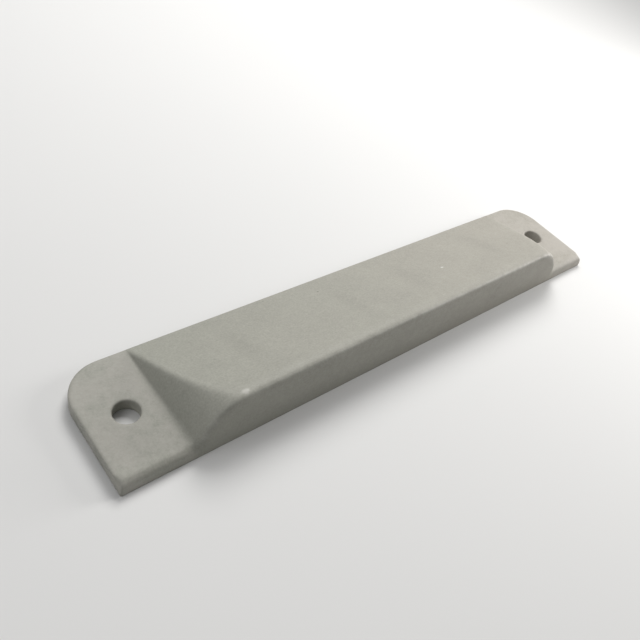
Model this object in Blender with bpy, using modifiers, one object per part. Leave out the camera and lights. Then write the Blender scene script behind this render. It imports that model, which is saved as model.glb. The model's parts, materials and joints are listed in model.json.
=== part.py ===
"""Screw-on identification tag: a wedge-shaped moulded housing that holds a sealed flat antenna.

The frame is in metres with +Z up. X runs along the tag, the tall front side faces -Y, and the
origin is at the middle of the underside. The housing is one moulding, open underneath: a plate
with a screw hole in each ear, and a wedge-shaped body between the ears. The antenna core, its
metal layers and its chip stand on a cover plate that is let into the underside.
"""

import math

import bmesh
import bpy
from mathutils import Matrix, Vector

# Housing, outside
LENGTH = 0.155
WIDTH = 0.0288
EAR_THICKNESS = 0.0032
APEX_HEIGHT = 0.01295  # where the top and front faces would meet without the rounded ridge
APEX_SETBACK = 0.0008  # the front wall's draft, over its full height
RIDGE_RADIUS = 0.0013
CREASE_X = 0.0617  # where each sloping end meets its ear
END_ANGLE = math.radians(56)
SHOULDER_RADIUS = 0.0085  # the sloping ends round over into the ridge
CREASE_RADIUS = 0.0012
BACK_CORNER_RADIUS = 0.009
FRONT_CORNER_RADIUS = 0.0013
HOLE_X = 0.069
HOLE_RADIUS = 0.0029  # M5 screw, coarse clearance

# Housing, inside
WALL = 0.002
CAVITY_HALF_LENGTH = 0.0573
CAVITY_FRONT_Y = -0.0100
CAVITY_BACK_Y = 0.0098
RIB_X = (0.0105, 0.042)
RIB_THICKNESS = 0.0012
RIB_FOOT_Z = 0.0047
POST_X = 0.0485
POST_Y = 0.0005
POST_RADIUS = 0.0012
POST_FOOT_Z = 0.0019

# Cover plate, its rebate and its bead of sealant
COVER_THICKNESS = 0.0012
REBATE_HALF_LENGTH = 0.0600
REBATE_FRONT_Y = -0.0126
REBATE_BACK_Y = 0.0124
REBATE_CORNER_RADIUS = 0.002
GROOVE_INSET = 0.0005
GROOVE_WIDTH = 0.0014
GROOVE_HEIGHT = 0.0008

# Antenna core and what is laid on it
GAP = 0.0003
CORE_HALF_LENGTH = 0.051
CORE_FRONT_Y = -0.0096
CORE_BACK_Y = 0.0040
CORE_THICKNESS = 0.0016
FOIL_THICKNESS = 0.0002
PATCH_INNER_X = 0.0050
PATCH_OUTER_X = 0.0465
PATCH_MARGIN = 0.0008
PATCH_SLOTS = 5
SLOT_WIDTH = 0.0010
SLOT_DEPTH_SHARE = 0.55
LOOP_HALF_LENGTH = 0.0042
LOOP_MARGIN = 0.0022
LOOP_TRACE = 0.0010
LOOP_BREAK = 0.0008
STRAP_WIDTH = 0.005
STRAP_Y = -0.0060
CHIP_SIZE = Vector((0.0016, 0.0012, 0.0005))
SOLDER_SIZE = Vector((0.0006, 0.0009, 0.0002))
SOLDER_X = 0.0008
GLOB_RADIUS = 0.0023
GLOB_POCKET_RADIUS = 0.0016
GLOB_POCKET_HEIGHT = 0.0013
GLOB_HEIGHT = 0.0020
FOAM_BACK_Y = 0.0025

# How finely round shapes are divided
ARC_STEP = math.radians(9)
HOLE_SEGMENTS = 64
POST_SEGMENTS = 24
PAST = 0.002  # how far a cutter runs past the faces that it cuts

# Heights of the stack that stands on the cover
GROUND_Z = COVER_THICKNESS + GAP
CORE_Z = GROUND_Z + FOIL_THICKNESS + GAP
PATCH_Z = CORE_Z + CORE_THICKNESS + GAP
ON_PATCH_Z = PATCH_Z + FOIL_THICKNESS + GAP
CHIP_Y = CORE_FRONT_Y + LOOP_MARGIN + LOOP_TRACE / 2

# Local axes of an outline that is drawn in a vertical plane
ALONG_Y = Matrix.Rotation(math.pi / 2, 4, "X")
ALONG_X = Matrix.Rotation(math.pi / 2, 4, "Z") @ ALONG_Y


def clear_scene():
    """Remove everything that the opened file holds."""
    for thing in list(bpy.data.objects):
        bpy.data.objects.remove(thing, do_unlink=True)


def new_collection(name):
    """Return a collection of that name, linked to the scene."""
    collection = bpy.data.collections.new(name)
    bpy.context.scene.collection.children.link(collection)
    return collection


def material(name, colour, roughness, metallic=0.0):
    """Return a material with the colour (linear RGB), roughness and metallic value of one part."""
    made = bpy.data.materials.new(name)
    made.use_nodes = True
    shader = made.node_tree.nodes["Principled BSDF"]
    shader.inputs["Base Color"].default_value = (*colour, 1.0)
    shader.inputs["Roughness"].default_value = roughness
    shader.inputs["Metallic"].default_value = metallic
    return made


def rounded(corners):
    """Return an outline's points, with an arc at each corner (x, y, radius) that has a radius."""
    points = []
    count = len(corners)
    for index, (x, y, radius) in enumerate(corners):
        here = Vector((x, y))
        before = (Vector(corners[index - 1][:2]) - here).normalized()
        after = (Vector(corners[(index + 1) % count][:2]) - here).normalized()
        half = before.angle(after) / 2
        if radius == 0:
            points.append(here)
            continue
        centre = here + (before + after).normalized() * radius / math.sin(half)
        first = here + before * radius / math.tan(half) - centre
        last = here + after * radius / math.tan(half) - centre
        turn = first.angle_signed(last)
        steps = max(2, round(abs(turn) / ARC_STEP))
        for step in range(steps + 1):
            points.append(centre + Matrix.Rotation(-turn * step / steps, 2) @ first)
    return points


def circle(x, y, radius, segments):
    """Return the points of a circle."""
    angles = [2 * math.pi * step / segments for step in range(segments)]
    return [Vector((x + radius * math.cos(a), y + radius * math.sin(a))) for a in angles]


def rectangle(x0, y0, x1, y1, radius=0.0):
    """Return the corners of a rectangle, each with the same radius."""
    return [(x0, y0, radius), (x1, y0, radius), (x1, y1, radius), (x0, y1, radius)]


def flat_curve(name, outlines, thickness, place=Matrix.Identity(4)):
    """Return a 2D curve of closed outlines, filled and extruded to a thickness about its plane."""
    curve = bpy.data.curves.new(name, "CURVE")
    curve.dimensions = "2D"
    curve.fill_mode = "BOTH"
    curve.extrude = thickness / 2
    for outline in outlines:
        spline = curve.splines.new("POLY")
        spline.points.add(len(outline) - 1)
        for point, corner in zip(spline.points, outline):
            point.co = (corner.x, corner.y, 0.0, 1.0)
        spline.use_cyclic_u = True
    made = bpy.data.objects.new(name, curve)
    made.matrix_world = place
    return made


def solid(name, outlines, thickness, place, collection):
    """Return an extruded outline as a mesh object with its caps welded on."""
    guide = flat_curve(name + "_outline", outlines, thickness, place)
    collection.objects.link(guide)
    bpy.context.view_layer.update()
    evaluated = guide.evaluated_get(bpy.context.evaluated_depsgraph_get())
    mesh = bpy.data.meshes.new_from_object(evaluated)
    mesh.name = name
    form = bmesh.new()
    form.from_mesh(mesh)
    bmesh.ops.remove_doubles(form, verts=form.verts, dist=1e-6)
    bmesh.ops.recalc_face_normals(form, faces=form.faces)
    form.to_mesh(mesh)
    form.free()
    made = bpy.data.objects.new(name, mesh)
    made.matrix_world = guide.matrix_world.copy()
    bpy.data.objects.remove(guide, do_unlink=True)
    collection.objects.link(made)
    return made


def lifted(z0, z1):
    """Return the place of a flat outline whose solid runs from height z0 to z1."""
    return Matrix.Translation((0.0, 0.0, (z0 + z1) / 2))


def plate(name, outlines, z0, z1, collection):
    """Return a horizontal plate between two heights."""
    return solid(name, outlines, z1 - z0, lifted(z0, z1), collection)


def as_cutter(thing):
    """Show a cutter as wires only and keep it out of renders."""
    thing.hide_render = True
    thing.display_type = "WIRE"
    return thing


def combine(target, operation, other):
    """Add an exact Boolean modifier with another object to the target."""
    step = target.modifiers.new(f"{operation.lower()}_{other.name}", "BOOLEAN")
    step.operation = operation
    step.solver = "EXACT"
    step.object = other


def shade_round(thing, limit=math.radians(30)):
    """Shade a mesh smooth where its faces meet at less than the limit."""
    thing.data.shade_smooth()
    thing.data.set_sharp_from_angle(angle=limit)


def section_outline():
    """Return the housing's section across its length: front wall, rounded ridge, slope, back edge."""
    half = WIDTH / 2
    return rounded([
        (-half, 0.0, 0.0),
        (half, 0.0, 0.0),
        (half, EAR_THICKNESS, 0.0),
        (-half + APEX_SETBACK, APEX_HEIGHT, RIDGE_RADIUS),
    ])


def side_outline():
    """Return the housing's outline from the front: ears, sloping ends and their rounded shoulders."""
    end = LENGTH / 2 + PAST
    crest = APEX_HEIGHT - (RIDGE_RADIUS / 2)
    shoulder_x = CREASE_X - (crest - EAR_THICKNESS) / math.tan(END_ANGLE)
    right = [
        (end, -PAST, 0.0),
        (end, EAR_THICKNESS, 0.0),
        (CREASE_X, EAR_THICKNESS, CREASE_RADIUS),
        (shoulder_x, crest, SHOULDER_RADIUS),
    ]
    left = [(-x, y, radius) for x, y, radius in reversed(right)]
    return rounded(right + left)


def plan_outline():
    """Return the housing's outline from above: tight front corners and large back corners."""
    x, y = LENGTH / 2, WIDTH / 2
    return rounded([
        (-x, -y, FRONT_CORNER_RADIUS),
        (x, -y, FRONT_CORNER_RADIUS),
        (x, y, BACK_CORNER_RADIUS),
        (-x, y, BACK_CORNER_RADIUS),
    ])


def slope():
    """Return how much the top face rises for each metre towards the front."""
    return (APEX_HEIGHT - EAR_THICKNESS) / (WIDTH - APEX_SETBACK)


def ceiling_z(y):
    """Return the height of the cavity's sloping ceiling at y."""
    return EAR_THICKNESS + (WIDTH / 2 - y) * slope() - WALL


def rebate_outline(inset):
    """Return the cover rebate's outline, moved inwards by an inset."""
    x = REBATE_HALF_LENGTH - inset
    radius = max(REBATE_CORNER_RADIUS - inset, 0.0005)
    return rounded(rectangle(-x, REBATE_FRONT_Y + inset, x, REBATE_BACK_Y - inset, radius))


def cavity_cutter(cutters):
    """Return the cavity: a wedge under the top face, less the ribs and locating posts."""
    section = rounded([
        (CAVITY_FRONT_Y, 0.0, 0.0),
        (CAVITY_BACK_Y, 0.0, 0.0),
        (CAVITY_BACK_Y, ceiling_z(CAVITY_BACK_Y), 0.0),
        (CAVITY_FRONT_Y, ceiling_z(CAVITY_FRONT_Y), 0.0008),
    ])
    cavity = solid("cavity", [section], LENGTH, ALONG_X, cutters)
    crest = ceiling_z(CAVITY_FRONT_Y) + PAST
    inset = WALL / math.sin(END_ANGLE)
    bend_z = EAR_THICKNESS + (CREASE_X - inset - CAVITY_HALF_LENGTH) * math.tan(END_ANGLE)
    crest_x = CAVITY_HALF_LENGTH - (crest - bend_z) / math.tan(END_ANGLE)
    right = [(CAVITY_HALF_LENGTH, -PAST, 0.0), (CAVITY_HALF_LENGTH, bend_z, 0.0), (crest_x, crest, 0.004)]
    left = [(-x, y, radius) for x, y, radius in reversed(right)]
    ends = as_cutter(solid("cavity_ends", [rounded(right + left)], WIDTH, ALONG_Y, cutters))
    combine(cavity, "INTERSECT", ends)
    half = RIB_THICKNESS / 2
    slots = [
        rounded(rectangle(side * x - half, -WIDTH, side * x + half, WIDTH))
        for x in RIB_X
        for side in (-1, 1)
    ]
    ribs = as_cutter(plate("ribs", slots, RIB_FOOT_Z, APEX_HEIGHT + PAST, cutters))
    combine(cavity, "DIFFERENCE", ribs)
    rounds = [circle(side * POST_X, POST_Y, POST_RADIUS, POST_SEGMENTS) for side in (-1, 1)]
    posts = as_cutter(plate("posts", rounds, POST_FOOT_Z, APEX_HEIGHT + 2 * PAST, cutters))
    combine(cavity, "DIFFERENCE", posts)
    return as_cutter(cavity)


def housing(parts, cutters):
    """Make the moulded housing: its outside, its screw holes, rebate, sealant groove and cavity."""
    made = solid("housing", [section_outline()], LENGTH + 2 * PAST, ALONG_X, parts)
    side = as_cutter(solid("side_profile", [side_outline()], WIDTH + 2 * PAST, ALONG_Y, cutters))
    plan = as_cutter(plate("plan_profile", [plan_outline()], -PAST, APEX_HEIGHT + PAST, cutters))
    combine(made, "INTERSECT", side)
    combine(made, "INTERSECT", plan)
    combine(made, "DIFFERENCE", cavity_cutter(cutters))
    rounds = [circle(sign * HOLE_X, 0.0, HOLE_RADIUS, HOLE_SEGMENTS) for sign in (-1, 1)]
    holes = as_cutter(plate("screw_holes", rounds, -PAST, EAR_THICKNESS + PAST, cutters))
    combine(made, "DIFFERENCE", holes)
    floor_z = COVER_THICKNESS + GAP
    rebate = as_cutter(plate("cover_rebate", [rebate_outline(0.0)], -PAST, floor_z, cutters))
    combine(made, "DIFFERENCE", rebate)
    ring = [rebate_outline(GROOVE_INSET), rebate_outline(GROOVE_INSET + GROOVE_WIDTH)]
    groove = as_cutter(plate("sealant_groove", ring, floor_z - GAP, floor_z + GROOVE_HEIGHT, cutters))
    combine(made, "DIFFERENCE", groove)
    made.data.materials.append(material("housing_plastic", (0.40, 0.40, 0.36), 0.55))
    return made


def base_cover(parts):
    """Make the thin plate that closes the underside, flush with it."""
    made = plate("base_cover", [rebate_outline(GAP)], 0.0, COVER_THICKNESS, parts)
    made.data.materials.append(material("cover_plastic", (0.36, 0.36, 0.33), 0.6))
    return made


def cover_sealant(parts):
    """Make the ring of sealant that lies in the housing's groove above the cover's edge."""
    inner = GROOVE_INSET + GROOVE_WIDTH - GAP
    ring = [rebate_outline(GROOVE_INSET + GAP), rebate_outline(inner)]
    top = COVER_THICKNESS + GAP + GROOVE_HEIGHT - GAP
    made = plate("cover_sealant", ring, COVER_THICKNESS + GAP, top, parts)
    made.data.materials.append(material("sealant", (0.62, 0.60, 0.52), 0.35))
    return made


def ground_plane(parts, metal):
    """Make the metal layer under the core."""
    y0, y1 = CORE_FRONT_Y + PATCH_MARGIN / 2, CORE_BACK_Y - PATCH_MARGIN / 2
    outline = rounded(rectangle(-PATCH_OUTER_X, y0, PATCH_OUTER_X, y1, 0.0006))
    made = plate("ground_plane", [outline], GROUND_Z, GROUND_Z + FOIL_THICKNESS, parts)
    made.data.materials.append(metal)


def antenna_core(parts):
    """Make the dielectric board, with a round hole near each end for a locating post."""
    outline = rounded(rectangle(-CORE_HALF_LENGTH, CORE_FRONT_Y, CORE_HALF_LENGTH, CORE_BACK_Y, 0.0008))
    holes = [circle(side * POST_X, POST_Y, POST_RADIUS + GAP, POST_SEGMENTS) for side in (-1, 1)]
    made = plate("antenna_core", [outline, *holes], CORE_Z, CORE_Z + CORE_THICKNESS, parts)
    made.data.materials.append(material("core_laminate", (0.16, 0.22, 0.10), 0.5))


def patch_outline():
    """Return the right-hand patch's outline, slotted from its two long sides by turns."""
    y0, y1 = CORE_FRONT_Y + PATCH_MARGIN, CORE_BACK_Y - PATCH_MARGIN
    depth = (y1 - y0) * SLOT_DEPTH_SHARE
    pitch = (PATCH_OUTER_X - PATCH_INNER_X) / (PATCH_SLOTS + 1)
    centres = [PATCH_INNER_X + pitch * (number + 1) for number in range(PATCH_SLOTS)]
    half = SLOT_WIDTH / 2
    front = [(PATCH_INNER_X, y0)]
    for x in centres[::2]:
        front += [(x - half, y0), (x - half, y0 + depth), (x + half, y0 + depth), (x + half, y0)]
    front.append((PATCH_OUTER_X, y0))
    back = [(PATCH_OUTER_X, y1)]
    for x in reversed(centres[1::2]):
        back += [(x + half, y1), (x + half, y1 - depth), (x - half, y1 - depth), (x - half, y1)]
    back.append((PATCH_INNER_X, y1))
    return [Vector(point) for point in front + back]


def radiators(parts, metal):
    """Make the two slotted metal patches on the core, each the other's mirror image."""
    right = patch_outline()
    left = [Vector((-point.x, point.y)) for point in reversed(right)]
    for name, outline in (("radiator_left", left), ("radiator_right", right)):
        made = plate(name, [outline], PATCH_Z, PATCH_Z + FOIL_THICKNESS, parts)
        made.data.materials.append(metal)


def matching_loop(parts, metal):
    """Make the square metal loop between the patches, broken under the chip."""
    x, gap = LOOP_HALF_LENGTH, LOOP_BREAK / 2
    y0, y1 = CORE_FRONT_Y + LOOP_MARGIN, CORE_BACK_Y - LOOP_MARGIN
    inner_x, inner_y0, inner_y1 = x - LOOP_TRACE, y0 + LOOP_TRACE, y1 - LOOP_TRACE
    right = [(gap, y0), (x, y0), (x, y1)]
    left = [(-px, py) for px, py in reversed(right)]
    inner_left = [(-gap, inner_y0), (-inner_x, inner_y0), (-inner_x, inner_y1)]
    inner_right = [(-px, py) for px, py in reversed(inner_left)]
    outline = [Vector(point) for point in right + left + inner_left + inner_right]
    made = plate("matching_loop", [outline], PATCH_Z, PATCH_Z + FOIL_THICKNESS, parts)
    made.data.materials.append(metal)


def shorting_straps(parts, metal):
    """Make the folded strap at each end of the core, from the patch level to the ground level."""
    inner = CORE_HALF_LENGTH + GAP
    outer = inner + FOIL_THICKNESS
    tip = PATCH_OUTER_X + GAP
    low, high = GROUND_Z, PATCH_Z + FOIL_THICKNESS
    bend = FOIL_THICKNESS
    right = [
        (tip, low, 0.0),
        (outer, low, 2 * bend),
        (outer, high, 2 * bend),
        (tip, high, 0.0),
        (tip, high - FOIL_THICKNESS, 0.0),
        (inner, high - FOIL_THICKNESS, bend),
        (inner, low + FOIL_THICKNESS, bend),
        (tip, low + FOIL_THICKNESS, 0.0),
    ]
    left = [(-x, y, radius) for x, y, radius in reversed(right)]
    place = Matrix.Translation((0.0, STRAP_Y, 0.0)) @ ALONG_Y
    for name, corners in (("shorting_strap_left", left), ("shorting_strap_right", right)):
        made = solid(name, [rounded(corners)], STRAP_WIDTH, place, parts)
        made.data.materials.append(metal)


def box(name, size, centre, parts):
    """Make a block of a size about a centre."""
    form = bmesh.new()
    bmesh.ops.create_cube(form, size=1.0, matrix=Matrix.Diagonal((*size, 1.0)))
    mesh = bpy.data.meshes.new(name)
    form.to_mesh(mesh)
    form.free()
    made = bpy.data.objects.new(name, mesh)
    made.location = centre
    parts.objects.link(made)
    return made


def chip(parts):
    """Make the chip that bridges the break in the loop, with slightly bevelled edges."""
    z = ON_PATCH_Z + SOLDER_SIZE.z + GAP + CHIP_SIZE.z / 2
    made = box("chip", CHIP_SIZE, (0.0, CHIP_Y, z), parts)
    edge = made.modifiers.new("moulded_edges", "BEVEL")
    edge.width = 0.00008
    edge.segments = 2
    made.data.materials.append(material("chip_resin", (0.02, 0.02, 0.02), 0.4))


def chip_solder(parts):
    """Make the solder joint under each end of the chip."""
    solder = material("solder", (0.60, 0.60, 0.62), 0.35, 1.0)
    half_x, half_y = SOLDER_SIZE.x / 2, SOLDER_SIZE.y / 2
    for name, x in (("solder_left", -SOLDER_X), ("solder_right", SOLDER_X)):
        pad = rounded(rectangle(x - half_x, CHIP_Y - half_y, x + half_x, CHIP_Y + half_y, 0.0001))
        made = plate(name, [pad], ON_PATCH_Z, ON_PATCH_Z + SOLDER_SIZE.z, parts)
        made.data.materials.append(solder)


def chip_glob_top(parts):
    """Make the resin drop over the chip, a turned dome with a pocket below for the chip."""
    mesh = bpy.data.meshes.new("chip_glob_top")
    form = bmesh.new()
    angles = [math.pi / 2 * step / 8 for step in range(9)]
    profile = [(GLOB_RADIUS * math.sin(a), GLOB_HEIGHT * math.cos(a)) for a in angles]
    profile += [(GLOB_POCKET_RADIUS, 0.0), (GLOB_POCKET_RADIUS, GLOB_POCKET_HEIGHT)]
    profile.append((0.0, GLOB_POCKET_HEIGHT))
    verts = [form.verts.new((x, 0.0, z)) for x, z in profile]
    for start, end in zip(verts, verts[1:]):
        form.edges.new((start, end))
    form.to_mesh(mesh)
    form.free()
    made = bpy.data.objects.new("chip_glob_top", mesh)
    made.location = (0.0, CHIP_Y, ON_PATCH_Z)
    parts.objects.link(made)
    turn = made.modifiers.new("turned", "SCREW")
    turn.steps = 32
    turn.render_steps = 32
    turn.use_merge_vertices = True
    turn.merge_threshold = 0.00001
    made.data.materials.append(material("glob_resin", (0.03, 0.03, 0.035), 0.25))


def foam_wedges(parts):
    """Make the two soft wedges that press the core down, one on each patch between two ribs."""
    front = CORE_FRONT_Y
    section = [
        Vector((front, ON_PATCH_Z)),
        Vector((FOAM_BACK_Y, ON_PATCH_Z)),
        Vector((FOAM_BACK_Y, ceiling_z(FOAM_BACK_Y) - GAP)),
        Vector((front, ceiling_z(front) - GAP - 0.0002)),
    ]
    clear = RIB_THICKNESS / 2 + GAP
    length = RIB_X[1] - RIB_X[0] - 2 * clear
    middle = (RIB_X[0] + RIB_X[1]) / 2
    foam = material("foam", (0.09, 0.09, 0.10), 0.95)
    for name, x in (("foam_wedge_left", -middle), ("foam_wedge_right", middle)):
        place = Matrix.Translation((x, 0.0, 0.0)) @ ALONG_X
        made = solid(name, [section], length, place, parts)
        made.data.materials.append(foam)


def main():
    """Build every sub-part of the tag."""
    clear_scene()
    parts = new_collection("identification_tag")
    cutters = new_collection("cutters")
    copper = material("copper_layer", (0.72, 0.36, 0.22), 0.35, 1.0)
    shade_round(housing(parts, cutters))
    shade_round(base_cover(parts))
    shade_round(cover_sealant(parts))
    ground_plane(parts, copper)
    antenna_core(parts)
    radiators(parts, copper)
    matching_loop(parts, copper)
    shorting_straps(parts, copper)
    chip(parts)
    chip_solder(parts)
    chip_glob_top(parts)
    foam_wedges(parts)


main()
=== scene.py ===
"""Finished scene of a screw-on identification tag.

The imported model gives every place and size. This script makes the visible meshes over it, gives each
piece its finish, and sets up the floor, the lights and the camera.
"""

import json
import logging
import math
from dataclasses import dataclass, fields
from enum import Enum
from typing import Any, Union

import bmesh
import bpy
from mathutils import Euler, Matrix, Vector


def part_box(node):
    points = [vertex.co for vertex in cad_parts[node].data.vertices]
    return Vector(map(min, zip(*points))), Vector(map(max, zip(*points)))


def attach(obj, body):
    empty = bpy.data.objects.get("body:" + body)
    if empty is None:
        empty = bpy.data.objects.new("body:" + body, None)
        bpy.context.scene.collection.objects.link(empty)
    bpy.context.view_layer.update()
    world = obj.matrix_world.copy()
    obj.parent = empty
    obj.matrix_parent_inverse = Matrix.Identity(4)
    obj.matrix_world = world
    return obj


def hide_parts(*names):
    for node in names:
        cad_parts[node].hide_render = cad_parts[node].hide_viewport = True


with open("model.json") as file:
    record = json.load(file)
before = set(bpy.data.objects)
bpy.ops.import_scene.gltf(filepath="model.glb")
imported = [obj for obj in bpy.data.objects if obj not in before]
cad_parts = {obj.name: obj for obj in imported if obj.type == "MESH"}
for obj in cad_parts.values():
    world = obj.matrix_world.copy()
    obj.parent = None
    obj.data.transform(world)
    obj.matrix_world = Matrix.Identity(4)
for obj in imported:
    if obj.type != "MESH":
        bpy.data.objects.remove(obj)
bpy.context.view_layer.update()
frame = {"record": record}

LOG = logging.getLogger("tag")
MM = 0.001
SOLID_GAP = 0.3 * MM
WELD = 0.001 * MM
BODY = "root"
# Named attribute with the mask of the painted highlight along the housing's raised edges.
EDGE_HIGHLIGHT = "edge_rub"

Number = Union[float, "Value"]
Colour = tuple[float, float, float]


class Side(Enum):
    """The two ends of the tag, as signs along X."""

    LEFT = -1
    RIGHT = 1


# Node trees as Python expressions


@dataclass(frozen=True)
class Value:
    """A number in a node tree. Arithmetic on it adds Math nodes."""

    graph: "Graph"
    socket: bpy.types.NodeSocket

    def _math(self, operation: str, *operands: Number) -> "Value":
        """Puts a Math node behind the operands."""
        return self.graph.math(operation, *operands)

    def __add__(self, other: Number) -> "Value":
        """Adds a number or another value."""
        return self._math("ADD", self, other)

    __radd__ = __add__

    def __sub__(self, other: Number) -> "Value":
        """Takes a number or another value away."""
        return self._math("SUBTRACT", self, other)

    def __rsub__(self, other: Number) -> "Value":
        """Is taken away from a number."""
        return self._math("SUBTRACT", other, self)

    def __mul__(self, other: Number) -> "Value":
        """Multiplies by a number or another value."""
        return self._math("MULTIPLY", self, other)

    __rmul__ = __mul__

    def __truediv__(self, other: Number) -> "Value":
        """Divides by a number or another value."""
        return self._math("DIVIDE", self, other)

    def __rtruediv__(self, other: Number) -> "Value":
        """Divides a number."""
        return self._math("DIVIDE", other, self)

    def __neg__(self) -> "Value":
        """Turns the sign."""
        return self._math("MULTIPLY", self, -1.0)

    def __abs__(self) -> "Value":
        """Drops the sign."""
        return self._math("ABSOLUTE", self)

    def __pow__(self, exponent: Number) -> "Value":
        """Raises to a power."""
        return self._math("POWER", self, exponent)


@dataclass(frozen=True)
class Node:
    """A placed node, read by the names of its outputs."""

    graph: "Graph"
    node: bpy.types.Node

    def __getitem__(self, name: Union[str, int]) -> Value:
        """Reads an output by its name or number."""
        return Value(self.graph, self.node.outputs[name])


class Graph:
    """A node tree that is filled by method calls."""

    def __init__(self, tree: bpy.types.NodeTree) -> None:
        """Keeps the tree.

        Args:
            tree: A shader or geometry node tree.
        """
        self.tree = tree

    def add(
        self,
        kind: str,
        settings: dict[str, Any] | None = None,
        sockets: dict[Any, Any] | None = None,
    ) -> Node:
        """Adds any node.

        Args:
            kind: The node's type name.
            settings: Properties of the node, set first. The stops of a ramp go under "stops".
            sockets: Values or links for its inputs, by name or number.

        Returns:
            The placed node.
        """
        node = self.tree.nodes.new(kind)
        for name, value in (settings or {}).items():
            if name == "stops":
                self._set_stops(node, value)
            else:
                setattr(node, name, value)
        for name, value in (sockets or {}).items():
            if isinstance(value, Value):
                self.tree.links.new(value.socket, node.inputs[name])
            else:
                node.inputs[name].default_value = value
        return Node(self, node)

    @staticmethod
    def _set_stops(node: bpy.types.Node, stops: list[tuple[float, float]]) -> None:
        """Gives a colour ramp its grey stops.

        Args:
            node: The ramp.
            stops: Pairs of place and grey level.
        """
        elements = node.color_ramp.elements
        while len(elements) < len(stops):
            elements.new(1.0)
        for element, (place, level) in zip(elements, stops):
            element.position = place
            element.color = (level, level, level, 1.0)

    def math(self, operation: str, *operands: Number) -> Value:
        """Adds a Math node.

        Args:
            operation: The node's operation.
            operands: Its one to three inputs.

        Returns:
            The result.
        """
        return self.add("ShaderNodeMath", {"operation": operation}, dict(enumerate(operands)))[0]

    def smooth_max(self, first: Number, second: Number, blend: Number) -> Value:
        """Takes the larger value, rounded over where the two are nearly equal."""
        return self.math("SMOOTH_MAX", first, second, blend)

    def clamp(self, value: Number) -> Value:
        """Keeps a value between 0 and 1."""
        return self.math("MINIMUM", self.math("MAXIMUM", value, 0.0), 1.0)

    def mix(self, first: Number, second: Number, share: Value) -> Value:
        """Goes from the first value to the second as the share goes from 0 to 1."""
        return first + (second - first) * share

    def bell(self, distance: Value, width: float) -> Value:
        """Falls off as a bell curve with the distance."""
        scaled = distance * (1.0 / width)
        return self.math("EXPONENT", -(scaled * scaled))

    def split(self, vector: Value) -> tuple[Value, Value, Value]:
        """Takes a vector apart."""
        parts = self.add("ShaderNodeSeparateXYZ", sockets={0: vector})
        return parts[0], parts[1], parts[2]

    def join(self, x: Number, y: Number, z: Number) -> Value:
        """Makes a vector of three values."""
        return self.add("ShaderNodeCombineXYZ", sockets={0: x, 1: y, 2: z})[0]

    def scale(self, vector: Value, level: Value) -> Value:
        """Multiplies a vector or a colour by a value."""
        return self.add("ShaderNodeVectorMath", {"operation": "SCALE"}, {0: vector, "Scale": level})[0]

    def length(self, x: Value, y: Value) -> Value:
        """Gives the length of a vector in the plane."""
        return self.math("SQRT", x * x + y * y)


class ShaderGraph(Graph):
    """The node tree of one material."""

    def __init__(self, material: bpy.types.Material) -> None:
        """Empties the material's tree.

        Args:
            material: The material to fill.
        """
        material.use_nodes = True
        super().__init__(material.node_tree)
        self.tree.nodes.clear()
        self.place = self.add("ShaderNodeTexCoord")["Object"]

    def _placed(self, scale: Colour, seed: float) -> Value:
        """Scales the object's own coordinates and shifts them."""
        sockets = {"Vector": self.place, "Scale": scale, "Location": (seed,) * 3}
        return self.add("ShaderNodeMapping", sockets=sockets)[0]

    def noise(
        self,
        size: float,
        detail: float = 2.0,
        stretch: Colour = (1.0, 1.0, 1.0),
        seed: float = 0.0,
    ) -> Value:
        """Adds smooth noise over the surface.

        Args:
            size: The distance from one lump to the next, in metres.
            detail: How many finer octaves are laid over it.
            stretch: How much longer the lumps are along each axis.
            seed: Picks another part of the pattern.

        Returns:
            Noise around 0.5.
        """
        where = self._placed(tuple(1.0 / (size * along) for along in stretch), seed)
        sockets = {"Vector": where, "Scale": 1.0, "Detail": detail}
        return self.add("ShaderNodeTexNoise", sockets=sockets)["Fac"]

    def cells(self, size: float, seed: float = 0.0) -> Value:
        """Adds round cells.

        Args:
            size: The distance from one cell to the next, in metres.
            seed: Picks another part of the pattern.

        Returns:
            The distance to the nearest cell's middle, from 0 to about 1.
        """
        where = self._placed((1.0 / size,) * 3, seed)
        return self.add("ShaderNodeTexVoronoi", sockets={"Vector": where, "Scale": 1.0})["Distance"]

    def ramp(self, value: Value, *stops: tuple[float, float]) -> Value:
        """Bends a value by a ramp of grey stops."""
        return self.add("ShaderNodeValToRGB", {"stops": list(stops)}, {"Fac": value})["Color"]

    def tint(self, first: Union[Colour, Value], second: Union[Colour, Value], share: Value) -> Value:
        """Goes from one colour to another.

        Args:
            first: The colour where the share is 0.
            second: The colour where it is 1.
            share: The place between them.

        Returns:
            The mixed colour.
        """
        ends = [end if isinstance(end, Value) else (*end, 1.0) for end in (first, second)]
        sockets = {"Factor": share, 6: ends[0], 7: ends[1]}
        return self.add("ShaderNodeMix", {"data_type": "RGBA", "clamp_factor": True}, sockets)[2]

    def bump(self, height: Value, relief: float) -> Value:
        """Turns a height into a normal.

        Args:
            height: The height, in units of the relief.
            relief: The height of one unit, in metres.

        Returns:
            The bumped normal.
        """
        sockets = {"Height": height, "Strength": 1.0, "Distance": relief}
        return self.add("ShaderNodeBump", sockets=sockets)["Normal"]

    def surface(self, colour: Value, roughness: Number, normal: Value, **constants: float) -> None:
        """Ends the tree in one Principled shader.

        Args:
            colour: The base colour.
            roughness: The roughness.
            normal: The bumped normal.
            constants: Other inputs of the shader, the same all over the surface.
        """
        sockets = {"Base Color": colour, "Roughness": roughness, "Normal": normal}
        sockets |= {name.replace("_", " "): value for name, value in constants.items()}
        shader = self.add("ShaderNodeBsdfPrincipled", sockets=sockets)
        self.add("ShaderNodeOutputMaterial", sockets={"Surface": shader["BSDF"]})


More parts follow.
